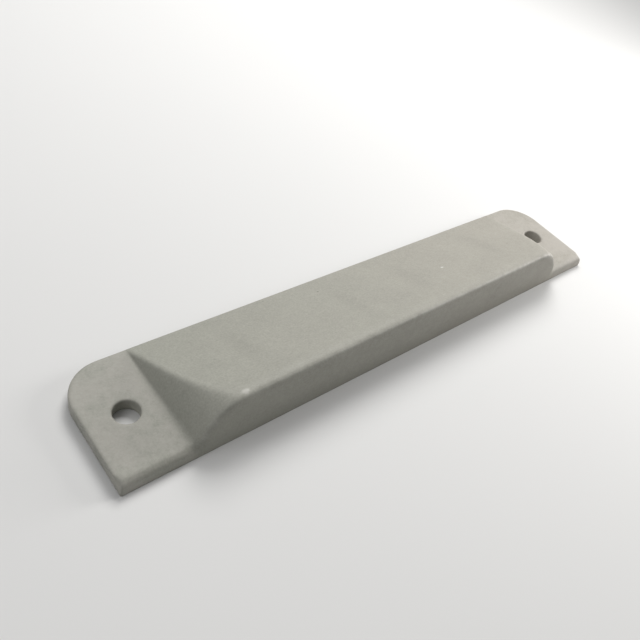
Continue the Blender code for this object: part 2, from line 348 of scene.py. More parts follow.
class GeometryGraph(Graph):
    """A geometry tree whose named inputs are the sizes of one dataclass."""

    def __init__(self, name: str, sizes: Any) -> None:
        """Starts the tree with one input for each size.

        Args:
            name: The name of the tree.
            sizes: A dataclass instance whose fields are all numbers.
        """
        tree = bpy.data.node_groups.new(name, "GeometryNodeTree")
        super().__init__(tree)
        self.values = {field.name: getattr(sizes, field.name) for field in fields(sizes)}
        sockets = [("Geometry", "OUTPUT", "NodeSocketGeometry")]
        sockets += [(key.replace("_", " "), "INPUT", "NodeSocketFloat") for key in self.values]
        for label, way, kind in sockets:
            tree.interface.new_socket(name=label, in_out=way, socket_type=kind)
        self.sizes = self.add("NodeGroupInput")
        self.position = self.add("GeometryNodeInputPosition")[0]

    def size(self, name: str) -> Value:
        """Reads one of the named sizes."""
        return self.sizes[name.replace("_", " ")]

    def moved(self, geometry: Value, **sockets: Value) -> Value:
        """Sets the position of a geometry's points, or offsets them."""
        return self.add("GeometryNodeSetPosition", sockets={"Geometry": geometry, **sockets})["Geometry"]

    def finish(self, geometry: Value, material: bpy.types.Material, name: str) -> bpy.types.Object:
        """Closes the tree, evaluates it and keeps the plain mesh.

        Args:
            geometry: The geometry to give out.
            material: The material of all its faces.
            name: The name of the new piece.

        Returns:
            An object at the origin with the finished mesh and no modifier.
        """
        real = self.add("GeometryNodeRealizeInstances", sockets={0: geometry})[0]
        dressed = self.add("GeometryNodeSetMaterial", sockets={"Geometry": real, "Material": material})[0]
        self.add("NodeGroupOutput", sockets={0: dressed})
        carrier = new_object(name + "_carrier", bpy.data.meshes.new(name))
        modifier = carrier.modifiers.new("form", "NODES")
        modifier.node_group = self.tree
        for item in self.tree.interface.items_tree:
            if item.in_out == "INPUT":
                modifier[item.identifier] = self.values[item.name.replace(" ", "_")]
        mesh = evaluated_mesh(carrier)
        mesh.name = name
        bpy.data.objects.remove(carrier)
        return new_object(name, mesh)


# Mesh helpers


def new_object(name: str, mesh: bpy.types.Mesh) -> bpy.types.Object:
    """Places a mesh in the scene.

    Args:
        name: The object's name.
        mesh: Its mesh.

    Returns:
        The new object, at the origin.
    """
    thing = bpy.data.objects.new(name, mesh)
    bpy.context.scene.collection.objects.link(thing)
    return thing


def mesh_of(solid: bmesh.types.BMesh, name: str) -> bpy.types.Mesh:
    """Turns an edit mesh into a plain one and frees it.

    Args:
        solid: The edit mesh.
        name: The name of the plain mesh.

    Returns:
        The plain mesh.
    """
    mesh = bpy.data.meshes.new(name)
    solid.to_mesh(mesh)
    solid.free()
    return mesh


def evaluated_mesh(thing: bpy.types.Object) -> bpy.types.Mesh:
    """Gives an object's mesh as its modifiers leave it."""
    evaluated = thing.evaluated_get(bpy.context.evaluated_depsgraph_get())
    return bpy.data.meshes.new_from_object(evaluated)


def apply(thing: bpy.types.Object) -> None:
    """Turns an object's modifiers into its mesh.

    Args:
        thing: The object with modifiers.
    """
    mesh = evaluated_mesh(thing)
    thing.modifiers.clear()
    thing.data = mesh


def merged_copy(node: str, name: str) -> bpy.types.Object:
    """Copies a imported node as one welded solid.

    Args:
        node: The node to copy.
        name: The name of the copy.

    Returns:
        The welded copy.
    """
    solid = bmesh.new()
    solid.from_mesh(bpy.data.objects[node].data)
    bmesh.ops.remove_doubles(solid, verts=solid.verts, dist=WELD)
    return new_object(name, mesh_of(solid, name))


def cut(thing: bpy.types.Object, tool: bpy.types.Object) -> None:
    """Cuts one solid out of another and removes the tool.

    Args:
        thing: The solid that is kept.
        tool: The solid that is cut out of it.
    """
    modifier = thing.modifiers.new("cut", "BOOLEAN")
    modifier.operation = "DIFFERENCE"
    modifier.object = tool
    modifier.solver = "EXACT"
    apply(thing)
    bpy.data.objects.remove(tool)


def smooth(thing: bpy.types.Object, sharp_angle: float) -> None:
    """Shades a piece smooth, with sharp edges kept where faces meet at more than an angle.

    Args:
        thing: The piece.
        sharp_angle: The angle, in degrees.
    """
    thing.data.shade_smooth()
    thing.data.set_sharp_from_angle(angle=math.radians(sharp_angle))


def declare(piece: bpy.types.Object, slot: str, *nodes: str) -> None:
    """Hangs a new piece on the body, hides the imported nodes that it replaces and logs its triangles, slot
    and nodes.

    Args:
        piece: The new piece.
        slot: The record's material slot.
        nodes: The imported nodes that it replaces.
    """
    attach(piece, BODY)
    if nodes:
        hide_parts(*nodes)
    triangles = sum(len(face.vertices) - 2 for face in piece.data.polygons)
    LOG.info("%s: %d triangles, slot %s, stands for %s", piece.name, triangles, slot, ", ".join(nodes))


# Finishes


@dataclass(frozen=True)
class Finish:
    """A material that is made from nodes."""

    name: str

    def material(self) -> bpy.types.Material:
        """Makes the material.

        Returns:
            A new material with its node tree filled.
        """
        material = bpy.data.materials.new(self.name)
        self.paint(ShaderGraph(material))
        return material

    def paint(self, graph: ShaderGraph) -> None:
        """Fills the material's node tree.

        Args:
            graph: The empty tree.
        """
        raise NotImplementedError


@dataclass(frozen=True)
class Mark:
    """A small spot on the plastic: a knock, a stain, or a painted highlight."""

    place: Colour
    size: tuple[float, float]
    tone: Colour
    strength: float
    reach: float = 1.15
    fray: float = 1.5
    crispness: float = 2.2

    def mask(self, graph: ShaderGraph, ragged: Value) -> Value:
        """Makes the mark's mask, with a ragged rim.

        Args:
            graph: The tree to add to.
            ragged: Noise around zero that frays the rim.

        Returns:
            The mask, from 0 to the mark's strength.
        """
        x, y, z = graph.split(graph.place)
        across = (x - self.place[0]) * (1 / self.size[0])
        along = (y - self.place[1]) * (1 / self.size[1])
        above = (z - self.place[2]) * (1 / self.size[1])
        away = (across * across + along * along + above * above) ** 0.5
        return graph.clamp((self.reach - away + self.fray * ragged) * self.crispness) * self.strength


@dataclass(frozen=True)
class MouldedPlastic(Finish):
    """Pale grey moulded plastic with a fine spark-eroded grain and faint flow mottling, a painted highlight
    along its raised edges, painted shade over its sink dips, and ears lightened partly by a whitish bloom and
    partly by painted light.
    """

    cool: Colour = (0.280, 0.283, 0.246)
    warm: Colour = (0.318, 0.301, 0.264)
    dark: Colour = (0.165, 0.163, 0.145)
    # Pale tone of the painted highlight along the raised edges.
    rubbed: Colour = (0.52, 0.51, 0.48)
    grain_size: float = 0.24 * MM
    grain_relief: float = 0.012 * MM
    speckle: float = 0.19
    sink_marks: tuple[float, ...] = ()
    sink_reach: float = 0.0
    roughness: float = 0.62
    # Whitish tone that lightens the ears: partly a real cloudy bloom, partly painted light for the extra
    # light the ears catch.
    bloom: Colour = (0.385, 0.362, 0.335)
    bloom_share: float = 0.0
    bloom_start: float = 0.0
    bloom_fade: float = 2.5 * MM
    marks: tuple[Mark, ...] = ()
    drift_length: float = 150 * MM
    drift_lumps: float = 38 * MM
    drift_waver: float = 0.35
    cloud_size: float = 7 * MM
    cloud_contrast: float = 0.16
    flow_size: float = 1.5 * MM
    flow_contrast: float = 0.14
    speck_size: float = 0.42 * MM
    sink_width: float = 2.3 * MM
    sink_waver: float = 3 * MM
    sink_middle: float = 1 * MM
    # How much the top is darkened over each sink dip: painted shade of the dips.
    sink_tone: float = 0.07
    sink_clouding: float = 0.14
    stain_spacing: float = 8.5 * MM
    stain_share: float = 0.45
    # Strength of the painted edge highlight, from the cool left end to the warm right end.
    rub_share_cool: float = 0.16
    rub_share_warm: float = 0.42
    rub_polish: float = 0.14
    coarse_ratio: float = 3.1
    grain_roughness: float = 0.10
    cloud_roughness: float = 0.12

    def paint(self, graph: ShaderGraph) -> None:
        """Fills the node tree.

        Args:
            graph: The empty tree.
        """
        x, y, _ = graph.split(graph.place)
        waver = self.drift_waver * (graph.noise(self.drift_lumps, 2.0, seed=3.0) - 0.5)
        drift = graph.clamp(0.5 + x * (1 / self.drift_length) + waver)
        colour = graph.tint(self.cool, self.warm, drift)
        clouds = graph.noise(self.cloud_size, 3.0, (1.3, 1.0, 1.0), seed=11.0) - 0.5
        flow = graph.noise(self.flow_size, 3.0, seed=5.0) - 0.5
        specks = graph.noise(self.speck_size, 2.0, seed=7.0) - 0.5
        level = 1.0 + clouds * self.cloud_contrast + flow * self.flow_contrast + specks * (2 * self.speckle)
        # Painted shade: the top is darkened in cloudy bands over the shallow sink dips.
        for place in self.sink_marks:
            dip_shade = graph.bell(x - place + self.sink_waver * flow, self.sink_width)
            dip_shade = dip_shade * graph.bell(y - self.sink_middle, self.sink_reach)
            level = level - dip_shade * (self.sink_tone + self.sink_clouding * clouds)
        spots = graph.cells(self.stain_spacing, seed=2.3)
        stains = graph.ramp(spots, (0.0, 1.0), (0.028, 0.5), (0.05, 0.0))
        colour = graph.tint(graph.scale(colour, level), self.dark, stains * self.stain_share)
        # Ears lightened past the crease: partly a whitish cloudy bloom, partly painted light.
        ears = graph.clamp((abs(x) - self.bloom_start) * (1 / self.bloom_fade))
        bloom = ears * graph.clamp(0.55 + 3.2 * clouds + 1.6 * flow)
        colour = graph.tint(colour, self.bloom, bloom * self.bloom_share)
        # Painted highlight: the raised edges are lightened, more towards the right, and made a little
        # glossier.
        highlight = graph.add("ShaderNodeAttribute", {"attribute_name": EDGE_HIGHLIGHT})["Fac"]
        highlight = graph.clamp(highlight * (0.65 + 2.2 * flow + 1.2 * clouds))
        highlight_share = graph.mix(self.rub_share_cool, self.rub_share_warm, drift)
        colour = graph.tint(colour, self.rubbed, highlight * highlight_share)
        # Marks: knocks and stains, and one pale painted highlight on the left ridge corner.
        for mark in self.marks:
            colour = graph.tint(colour, mark.tone, mark.mask(graph, flow))
        fine = graph.noise(self.grain_size, 1.5, seed=1.0)
        coarse = graph.noise(self.grain_size * self.coarse_ratio, 1.0, seed=9.0)
        normal = graph.bump(fine + 0.5 * coarse, self.grain_relief)
        uneven = self.grain_roughness * (fine - 0.5) + self.cloud_roughness * clouds
        rough = self.roughness + uneven - self.rub_polish * highlight
        graph.surface(colour, rough, normal, IOR=1.46, Specular_IOR_Level=0.42)


@dataclass(frozen=True)
class CuredSealant(Finish):
    """Off-white sealant, satin, with small bubbles and a dusty bloom."""

    fresh: Colour = (0.64, 0.61, 0.53)
    aged: Colour = (0.50, 0.46, 0.37)
    bloom_size: float = 3.5 * MM
    bubble_spacing: float = 0.7 * MM
    lump_size: float = 0.9 * MM
    relief: float = 0.05 * MM
    roughness: float = 0.38

    def paint(self, graph: ShaderGraph) -> None:
        """Fills the node tree.

        Args:
            graph: The empty tree.
        """
        bloom = graph.noise(self.bloom_size, 3.0, seed=4.0)
        bubbles = graph.ramp(graph.cells(self.bubble_spacing), (0.0, 1.0), (0.18, 0.3), (0.3, 0.0))
        colour = graph.tint(self.fresh, self.aged, graph.clamp(bloom * 1.4 - 0.35 + 0.3 * bubbles))
        normal = graph.bump(graph.noise(self.lump_size, 2.0) - bubbles, self.relief)
        graph.surface(colour, self.roughness + 0.25 * bloom, normal, IOR=1.41)


@dataclass(frozen=True)
class CopperFoil(Finish):
    """Rolled copper foil with fine rolling lines and a start of tarnish."""

    bright: Colour = (0.78, 0.42, 0.28)
    tarnish: Colour = (0.46, 0.22, 0.13)
    line_width: float = 0.12 * MM
    line_stretch: float = 60.0
    line_relief: float = 0.003 * MM
    stain_size: float = 6 * MM
    roughness: float = 0.24

    def paint(self, graph: ShaderGraph) -> None:
        """Fills the node tree.

        Args:
            graph: The empty tree.
        """
        lines = graph.noise(self.line_width, 2.0, (self.line_stretch, 1.0, 1.0), seed=6.0)
        stains = graph.noise(self.stain_size, 4.0, seed=8.0)
        stains = graph.ramp(stains, (0.42, 0.0), (0.62, 0.6), (0.8, 1.0))
        colour = graph.tint(self.bright, self.tarnish, graph.clamp(stains * 0.7 + (lines - 0.5) * 0.4))
        normal = graph.bump(lines, self.line_relief)
        graph.surface(colour, self.roughness + 0.22 * stains + 0.12 * lines, normal, Metallic=1.0)


@dataclass(frozen=True)
class GlassLaminate(Finish):
    """Green-brown glass-fibre laminate whose plain weave shows through the resin."""

    resin: Colour = (0.14, 0.20, 0.085)
    fibre: Colour = (0.27, 0.33, 0.17)
    pitch: float = 0.55 * MM
    patch_size: float = 9 * MM
    pore_size: float = 0.2 * MM
    relief: float = 0.01 * MM
    roughness: float = 0.34

    def paint(self, graph: ShaderGraph) -> None:
        """Fills the node tree.

        Args:
            graph: The empty tree.
        """
        x, y, _ = graph.split(graph.place)
        turn = math.pi / self.pitch
        across = graph.math("SINE", x * turn)
        along = graph.math("SINE", y * turn)
        weave = graph.clamp(0.5 + 0.5 * across * along)
        patches = graph.noise(self.patch_size, 3.0, seed=2.0)
        colour = graph.tint(self.resin, self.fibre, graph.clamp(weave * 0.55 + patches * 0.5 - 0.1))
        normal = graph.bump(weave + graph.noise(self.pore_size, 2.0) * 0.4, self.relief)
        graph.surface(colour, self.roughness + 0.16 * patches, normal, IOR=1.52)


@dataclass(frozen=True)
class MouldingResin(Finish):
    """Dark cast resin: matt with a fine grain for the chip, glossy for the potting drop."""

    tone: Colour = (0.020, 0.020, 0.022)
    worn: Colour = (0.052, 0.050, 0.050)
    roughness: float = 0.55
    relief: float = 0.006 * MM
    grain: float = 0.08 * MM
    dust_size: float = 1.3 * MM

    def paint(self, graph: ShaderGraph) -> None:
        """Fills the node tree.

        Args:
            graph: The empty tree.
        """
        grain = graph.noise(self.grain, 2.0)
        dust = graph.noise(self.dust_size, 3.0, seed=5.0)
        colour = graph.tint(self.tone, self.worn, graph.clamp(grain * 0.5 + dust - 0.45))
        graph.surface(colour, self.roughness + 0.14 * (dust - 0.5), graph.bump(grain, self.relief), IOR=1.5)


@dataclass(frozen=True)
class TinSolder(Finish):
    """Dull tin solder, frosted where it froze."""

    bright: Colour = (0.66, 0.66, 0.67)
    frost: Colour = (0.44, 0.44, 0.46)
    frost_size: float = 0.25 * MM
    relief: float = 0.01 * MM
    roughness: float = 0.28

    def paint(self, graph: ShaderGraph) -> None:
        """Fills the node tree.

        Args:
            graph: The empty tree.
        """
        frost = graph.noise(self.frost_size, 3.0)
        colour = graph.tint(self.bright, self.frost, frost)
        graph.surface(colour, self.roughness + 0.3 * frost, graph.bump(frost, self.relief), Metallic=1.0)


@dataclass(frozen=True)
class CellularFoam(Finish):
    """Dark closed-cell foam with cut cells over its skin."""

    face: Colour = (0.105, 0.105, 0.115)
    pit: Colour = (0.040, 0.040, 0.046)
    cell: float = 0.45 * MM
    cell_relief: float = 0.09 * MM
    cloud_size: float = 4 * MM
    roughness: float = 0.86

    def paint(self, graph: ShaderGraph) -> None:
        """Fills the node tree.

        Args:
            graph: The empty tree.
        """
        walls = graph.ramp(graph.cells(self.cell), (0.15, 0.0), (0.55, 0.7), (0.85, 1.0))
        clouds = graph.noise(self.cloud_size, 3.0, seed=3.0)
        colour = graph.tint(self.pit, self.face, graph.clamp(walls * 0.75 + clouds * 0.5 - 0.1))
        normal = graph.bump(walls, self.cell_relief)
        rough = self.roughness + 0.1 * clouds
        graph.surface(colour, rough, normal, Sheen_Weight=0.15, Sheen_Roughness=0.6)


@dataclass(frozen=True)
class PaperFloor(Finish):
    """Plain pale sweep of paper."""

    tone: Colour = (0.66, 0.66, 0.655)
    dull_tone: Colour = (0.65, 0.65, 0.645)
    roughness: float = 0.9
    cloud_size: float = 60 * MM
    fibre_size: float = 0.6 * MM
    fibre_relief: float = 0.004 * MM

    def paint(self, graph: ShaderGraph) -> None:
        """Fills the node tree.

        Args:
            graph: The empty tree.
        """
        colour = graph.tint(self.tone, self.dull_tone, graph.noise(self.cloud_size, 2.0))
        normal = graph.bump(graph.noise(self.fibre_size, 2.0), self.fibre_relief)
        graph.surface(colour, self.roughness, normal, Specular_IOR_Level=0.2)


# Housing


@dataclass(frozen=True)
class HousingSizes:
    """Driving sizes of the housing's outside, in metres and degrees. Blends are smooth-maximum widths."""

    length: float
    width: float
    ear_thickness: float
    ridge_height: float
    hole_place: float
    sink_inner: float
    sink_outer: float
    hole_radius: float = 2.75 * MM
    ridge_setback: float = 0.9 * MM
    crease_place: float = 61.9 * MM
    end_angle_back: float = 57.0
    end_angle_front: float = 58.5
    crest_drop: float = 0.05 * MM
    shoulder_blend: float = 9.6 * MM
    edge_blend_back: float = 0.8 * MM
    edge_blend_front: float = 1.0 * MM
    crease_blend_back: float = 0.3 * MM
    crease_blend_front: float = 1.5 * MM
    front_edge_blend: float = 2.1 * MM
    ridge_blend: float = 3.8 * MM
    ear_edge_blend: float = 0.8 * MM
    ear_front_blend: float = 3.3 * MM
    hole_lip_blend: float = 0.8 * MM
    foot_blend: float = 0.35 * MM
    back_corner_radius: float = 9.0 * MM
    front_corner_blend: float = 0.45 * MM
    sink_depth: float = 0.02 * MM
    # Width of the band along the raised edges that gets the painted highlight.
    rub_reach: float = 1.3 * MM


@dataclass
class Housing:
    """The one visible moulding: wedge body, two holed ears, and the cavity below."""

    sizes: HousingSizes
    cell: float = 0.30 * MM
    cell_height: float = 0.25 * MM
    margin: float = 0.8 * MM
    plain_half: float = 50.0 * MM
    plain_stretch: float = 4.0
    inner_play: float = 0.01 * MM
    dip_width: float = 1.6 * MM
    dip_reach: float = 7.0 * MM
    ear_fade: float = 2.0 * MM
    end_strip: float = 14.0 * MM
    end_fade: float = 5.0 * MM
    front_strip: float = 3.0 * MM
    front_fade: float = 2.0 * MM
    # Share of the painted highlight on the edge between the top and the end.
    brow_rub: float = 0.25
    fit_steps: int = 2
    sharp_angle: float = 38.0

    def _rule(self, graph: GeometryGraph, place: Value) -> tuple[Value, Value]:
        """Builds the rule of the outside: negative within the plastic, zero on its skin.

        Args:
            graph: The tree.
            place: The point.

        Returns:
            About the distance to the skin, and how near the point is to a raised edge, from 0 to 1, where the
            finish paints a highlight.
        """
        size = graph.size
        signed_x, y, z = graph.split(place)
        x = abs(signed_x)
        half_length, half_width = size("length") * 0.5, size("width") * 0.5
        ridge_y = size("ridge_setback") - half_width
        run = half_width - ridge_y
        slope = (size("ridge_height") - size("ear_thickness")) / run
        along = graph.clamp((half_width - y) / run)
        lift = z - size("ear_thickness")
        dips = graph.bell(x - size("sink_inner"), self.dip_width)
        dips = dips + graph.bell(x - size("sink_outer"), self.dip_width)
        dips = dips * graph.bell(y, self.dip_reach) * size("sink_depth")
        top = (lift - slope * (half_width - y) + dips) / ((slope * slope + 1.0) ** 0.5)

        angle = graph.mix(size("end_angle_back"), size("end_angle_front"), along) * (math.pi / 180)
        end = lift * graph.math("COSINE", angle) + (x - size("crease_place")) * graph.math("SINE", angle)
        crest = z - (size("ridge_height") - size("crest_drop"))
        side = graph.smooth_max(end, crest, size("shoulder_blend"))
        edge_blend = graph.mix(size("edge_blend_back"), size("edge_blend_front"), along)
        body = graph.smooth_max(top, side, edge_blend)
        crease_blend = graph.mix(size("crease_blend_back"), size("crease_blend_front"), along * along)
        upper = graph.math("SMOOTH_MIN", body, lift, crease_blend)

        rise, draft = size("ridge_height"), size("ridge_setback")
        lean = (rise * rise + draft * draft) ** 0.5
        front = (z * draft - (y + half_width) * rise) / lean
        radius = size("back_corner_radius")
        over_x, over_y = x - half_length + radius, y - half_width + radius
        round_part = graph.length(graph.math("MAXIMUM", over_x, 0.0), graph.math("MAXIMUM", over_y, 0.0))
        flat_part = graph.math("MINIMUM", graph.math("MAXIMUM", over_x, over_y), 0.0)
        outline = graph.smooth_max(round_part + flat_part - radius, front, size("front_corner_blend"))

        above_ear = graph.clamp(lift * (1 / self.ear_fade))
        near_end = graph.clamp((x - size("crease_place") + self.end_strip) * (1 / self.end_fade))
        front_blend = graph.mix(size("ridge_blend"), size("front_edge_blend"), near_end)
        front_blend = graph.mix(size("ear_front_blend"), front_blend, above_ear)
        near_front = graph.clamp((self.front_strip - half_width - y) * (1 / self.front_fade))
        share = graph.math("MAXIMUM", near_front, above_ear)
        skin = graph.smooth_max(upper, outline, graph.mix(size("ear_edge_blend"), front_blend, share))
        skin = graph.smooth_max(skin, -z, size("foot_blend"))
        hole = graph.length(x - size("hole_place"), y) - size("hole_radius")
        skin = graph.smooth_max(skin, -hole, size("hole_lip_blend"))
        # Nearness to the ridge and to the top's end edge: the mask of the painted edge highlight.
        reach = 1 / size("rub_reach")
        ridge = graph.clamp(1.0 - abs(upper - outline) * reach) * above_ear
        brow = graph.clamp(1.0 - abs(top - side) * reach) * above_ear
        return skin, graph.math("MAXIMUM", ridge, brow * self.brow_rub)

    def _spread(self, graph: GeometryGraph, place: Value) -> Value:
        """Stretches the plain middle along X, so that it needs fewer cells than the ends.

        Args:
            graph: The tree.
            place: The point in the squeezed grid.

        Returns:
            The true point.
        """
        x, y, z = graph.split(place)
        squeezed = self.plain_half / self.plain_stretch
        middle = graph.math("MINIMUM", abs(x), squeezed) * self.plain_stretch
        outer = graph.math("MAXIMUM", abs(x) - squeezed, 0.0)
        return graph.join((middle + outer) * graph.math("SIGN", x), y, z)

    def _outside(self, material: bpy.types.Material) -> bpy.types.Object:
        """Makes the solid outside from its rule.

        Args:
            material: The housing's finish.

        Returns:
            The closed solid, without its cavity.
        """
        sizes = self.sizes
        graph = GeometryGraph("housing_form", sizes)
        squeeze = self.plain_half - self.plain_half / self.plain_stretch
        reach = Vector((sizes.length / 2 - squeeze, sizes.width / 2, 0.0)) + Vector((self.margin,) * 3)
        low, high = -reach, reach.copy()
        high.z = sizes.ridge_height
        cells = (self.cell, self.cell, self.cell_height)
        steps = [round(extent / cell) for extent, cell in zip(high - low, cells)]
        density = -self._rule(graph, self._spread(graph, graph.position))[0]
        sockets = {"Density": density, "Background": -MM, "Min": tuple(low), "Max": tuple(high)}
        sockets |= {f"Resolution {axis}": count for axis, count in zip("XYZ", steps)}
        volume = graph.add("GeometryNodeVolumeCube", sockets=sockets)[0]
        skin = graph.add("GeometryNodeVolumeToMesh", sockets={"Volume": volume, "Threshold": 0.0})[0]
        skin = graph.moved(skin, Position=self._spread(graph, graph.position))
        normal = graph.add("GeometryNodeInputNormal")[0]
        for _ in range(self.fit_steps):
            error = -self._rule(graph, graph.position)[0]
            skin = graph.moved(skin, Offset=graph.scale(normal, error))
        # Stored for the finish, which paints a highlight along these edges.
        highlight = {"Geometry": skin, "Name": EDGE_HIGHLIGHT, "Value": self._rule(graph, graph.position)[1]}
        stored = {"data_type": "FLOAT", "domain": "POINT"}
        skin = graph.add("GeometryNodeStoreNamedAttribute", stored, highlight)[0]
        return graph.finish(skin, material, "housing_shell")

    def _void(self) -> bpy.types.Object:
        """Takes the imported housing's inside as a solid: cavity, cover rebate and sealant groove.

        Returns:
            The solid that is cut out of the outside.
        """
        low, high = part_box("base_cover")
        gap = SOLID_GAP - self.inner_play
        bottom, top = low - Vector((gap, gap, MM)), high + Vector((gap, gap, 0.0))
        top.z = self.sizes.ridge_height + MM
        block = bmesh.new()
        bmesh.ops.create_cube(block, size=1.0)
        for vertex in block.verts:
            vertex.co = Vector(top[i] if vertex.co[i] > 0 else bottom[i] for i in range(3))
        void = new_object("void", mesh_of(block, "void"))
        cut(void, merged_copy("housing", "packed_copy"))
        inside = bmesh.new()
        inside.from_mesh(void.data)
        reached = [vertex for vertex in inside.verts if vertex.co.z < 0]
        kept = set(reached)
        while reached:
            vertex = reached.pop()
            for edge in vertex.link_edges:
                other = edge.other_vert(vertex)
                if other not in kept:
                    kept.add(other)
                    reached.append(other)
        outer = [vertex for vertex in inside.verts if vertex not in kept]
        bmesh.ops.delete(inside, geom=outer, context="VERTS")
        void.data = mesh_of(inside, "void")
        return void

    def build(self, finish: MouldedPlastic) -> bpy.types.Object:
        """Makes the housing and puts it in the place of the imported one.

        Args:
            finish: The housing's finish.

        Returns:
            The finished piece.
        """
        shell = self._outside(finish.material())
        cut(shell, self._void())
        smooth(shell, self.sharp_angle)
        declare(shell, "housing_plastic", "housing")
        return shell


# Underside and inside


@dataclass
class BaseCover:
    """Moulded plate in the underside, with eased edges, a gate dimple and two ejector rings."""

    corner_radius: float = 1.7 * MM
    corner_steps: int = 12
    edge_radius: float = 0.22 * MM
    gate_radius: float = 1.6 * MM
    gate_depth: float = 0.35 * MM
    gate_land: float = 0.3 * MM
    ring_place: float = 44.0 * MM
    ring_radius: float = 2.4 * MM
    ring_width: float = 0.25 * MM
    ring_depth: float = 0.12 * MM
    round_steps: int = 48
    edge_steps: int = 3
    sharp_angle: float = 30.0

    def _outline(self, low: Vector, high: Vector) -> list[Vector]:
        """Lists the points of the rounded outline.

        Args:
            low: The lowest corner of the plate.
            high: The highest corner of the plate.

        Returns:
            The points, anticlockwise, at the plate's foot.
        """
        points = []
        radius = self.corner_radius
        for number in range(4):
            centre_x = high.x - radius if number in (0, 3) else low.x + radius
            centre_y = high.y - radius if number in (0, 1) else low.y + radius
            for step in range(self.corner_steps + 1):
                angle = math.radians(90 * (number + step / self.corner_steps))
                offset = Vector((math.cos(angle), math.sin(angle), 0.0)) * radius
                points.append(Vector((centre_x, centre_y, low.z)) + offset)
        return points

    def _disc(self, place: tuple[float, float], radius: float, depth: float, hole: float) -> bpy.types.Object:
        """Makes a round tool that sinks a mark into the underside.

        Args:
            place: The middle of the mark.
            radius: Its radius.
            depth: Its depth.
            hole: The radius of the land left in its middle.

        Returns:
            The tool.
        """
        tool = bmesh.new()
        profile = [(hole, -MM), (radius, -MM), (radius, depth), (hole, depth)]
        corners = [tool.verts.new((place[0] + x, place[1], z)) for x, z in profile]
        edges = [tool.edges.new(pair) for pair in zip(corners, corners[1:] + corners[:1])]
        turn = {"cent": (*place, 0.0), "axis": (0, 0, 1), "angle": math.tau, "steps": self.round_steps}
        bmesh.ops.spin(tool, geom=corners + edges, **turn)
        bmesh.ops.remove_doubles(tool, verts=tool.verts, dist=WELD)
        bmesh.ops.recalc_face_normals(tool, faces=tool.faces)
        return new_object("mark", mesh_of(tool, "mark"))

    def build(self, finish: MouldedPlastic) -> bpy.types.Object:
        """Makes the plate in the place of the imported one.

        Args:
            finish: The plate's finish.

        Returns:
            The finished piece.
        """
        low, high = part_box("base_cover")
        solid = bmesh.new()
        foot = solid.faces.new([solid.verts.new(point) for point in self._outline(low, high)])
        raised = bmesh.ops.extrude_face_region(solid, geom=[foot])["geom"]
        lifted = [item for item in raised if isinstance(item, bmesh.types.BMVert)]
        bmesh.ops.translate(solid, verts=lifted, vec=(0, 0, high.z - low.z))
        bmesh.ops.recalc_face_normals(solid, faces=solid.faces)
        rims = [edge for edge in solid.edges if abs(edge.verts[0].co.z - edge.verts[1].co.z) < WELD]
        easing = {"offset": self.edge_radius, "segments": self.edge_steps, "profile": 0.5}
        bmesh.ops.bevel(solid, geom=rims, affect="EDGES", **easing)
        mesh = mesh_of(solid, "cover_plate")
        mesh.materials.append(finish.material())
        plate = new_object("cover_plate", mesh)
        middle = (low.y + high.y) / 2
        cut(plate, self._disc((0.0, middle), self.gate_radius, self.gate_depth, self.gate_land))
        inner = self.ring_radius - self.ring_width
        for side in Side:
            place = (side.value * self.ring_place, middle)
            cut(plate, self._disc(place, self.ring_radius, self.ring_depth, inner))
        smooth(plate, self.sharp_angle)
        declare(plate, "cover_plastic", "base_cover")
        return plate


@dataclass(frozen=True)
class BeadSizes:
    """Driving sizes of the sealant bead."""

    length: float
    width: float
    middle: float
    height: float
    thickness: float
    bead_width: float = 0.8 * MM
    corner_radius: float = 1.3 * MM
    waviness: float = 0.03 * MM


@dataclass
class SealantBead:
    """Ring of cured sealant that runs round above the cover's edge."""

    sides: int = 14
    corner_steps: int = 8
    step: float = 0.6 * MM
    lump_size: float = 2.5 * MM
    sharp_angle: float = 80.0

    def build(self, finish: CuredSealant) -> bpy.types.Object:
        """Sweeps the bead round its rounded rectangle.

        Args:
            finish: The sealant's finish.

        Returns:
            The finished piece.
        """
        low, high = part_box("cover_sealant")
        wide = BeadSizes.bead_width
        sizes = BeadSizes(
            length=high.x - low.x - wide,
            width=high.y - low.y - wide,
            middle=(low.y + high.y) / 2,
            height=(low.z + high.z) / 2,
            thickness=high.z - low.z,
        )
        graph = GeometryGraph("sealant_form", sizes)
        oblong = {"Width": graph.size("length"), "Height": graph.size("width")}
        route = graph.add("GeometryNodeCurvePrimitiveQuadrilateral", {"mode": "RECTANGLE"}, oblong)["Curve"]
        corner = {"Curve": route, "Radius": graph.size("corner_radius"), "Count": self.corner_steps}
        route = graph.add("GeometryNodeFilletCurve", {"mode": "POLY"}, corner)["Curve"]
        spaced = {"Curve": route, "Length": self.step}
        route = graph.add("GeometryNodeResampleCurve", {"mode": "LENGTH"}, spaced)["Curve"]
        circle = {"Resolution": self.sides, "Radius": 0.5}
        ring = graph.add("GeometryNodeCurvePrimitiveCircle", sockets=circle)["Curve"]
        oval = graph.join(graph.size("bead_width"), graph.size("thickness"), 1.0)
        ring = graph.add("GeometryNodeTransform", sockets={"Geometry": ring, "Scale": oval})["Geometry"]
        bead = graph.add("GeometryNodeCurveToMesh", sockets={"Curve": route, "Profile Curve": ring})["Mesh"]
        spread = {"Vector": graph.position, "Scale": 1 / self.lump_size}
        push = (graph.add("ShaderNodeTexNoise", sockets=spread)["Fac"] - 1.0) * graph.size("waviness")
        bead = graph.moved(bead, Offset=graph.scale(graph.add("GeometryNodeInputNormal")[0], push))
        lift = graph.join(0.0, graph.size("middle"), graph.size("height"))
        bead = graph.add("GeometryNodeTransform", sockets={"Geometry": bead, "Translation": lift})["Geometry"]
        piece = graph.finish(bead, finish.material(), "sealant_bead")
        smooth(piece, self.sharp_angle)
        declare(piece, "sealant", "cover_sealant")
        return piece


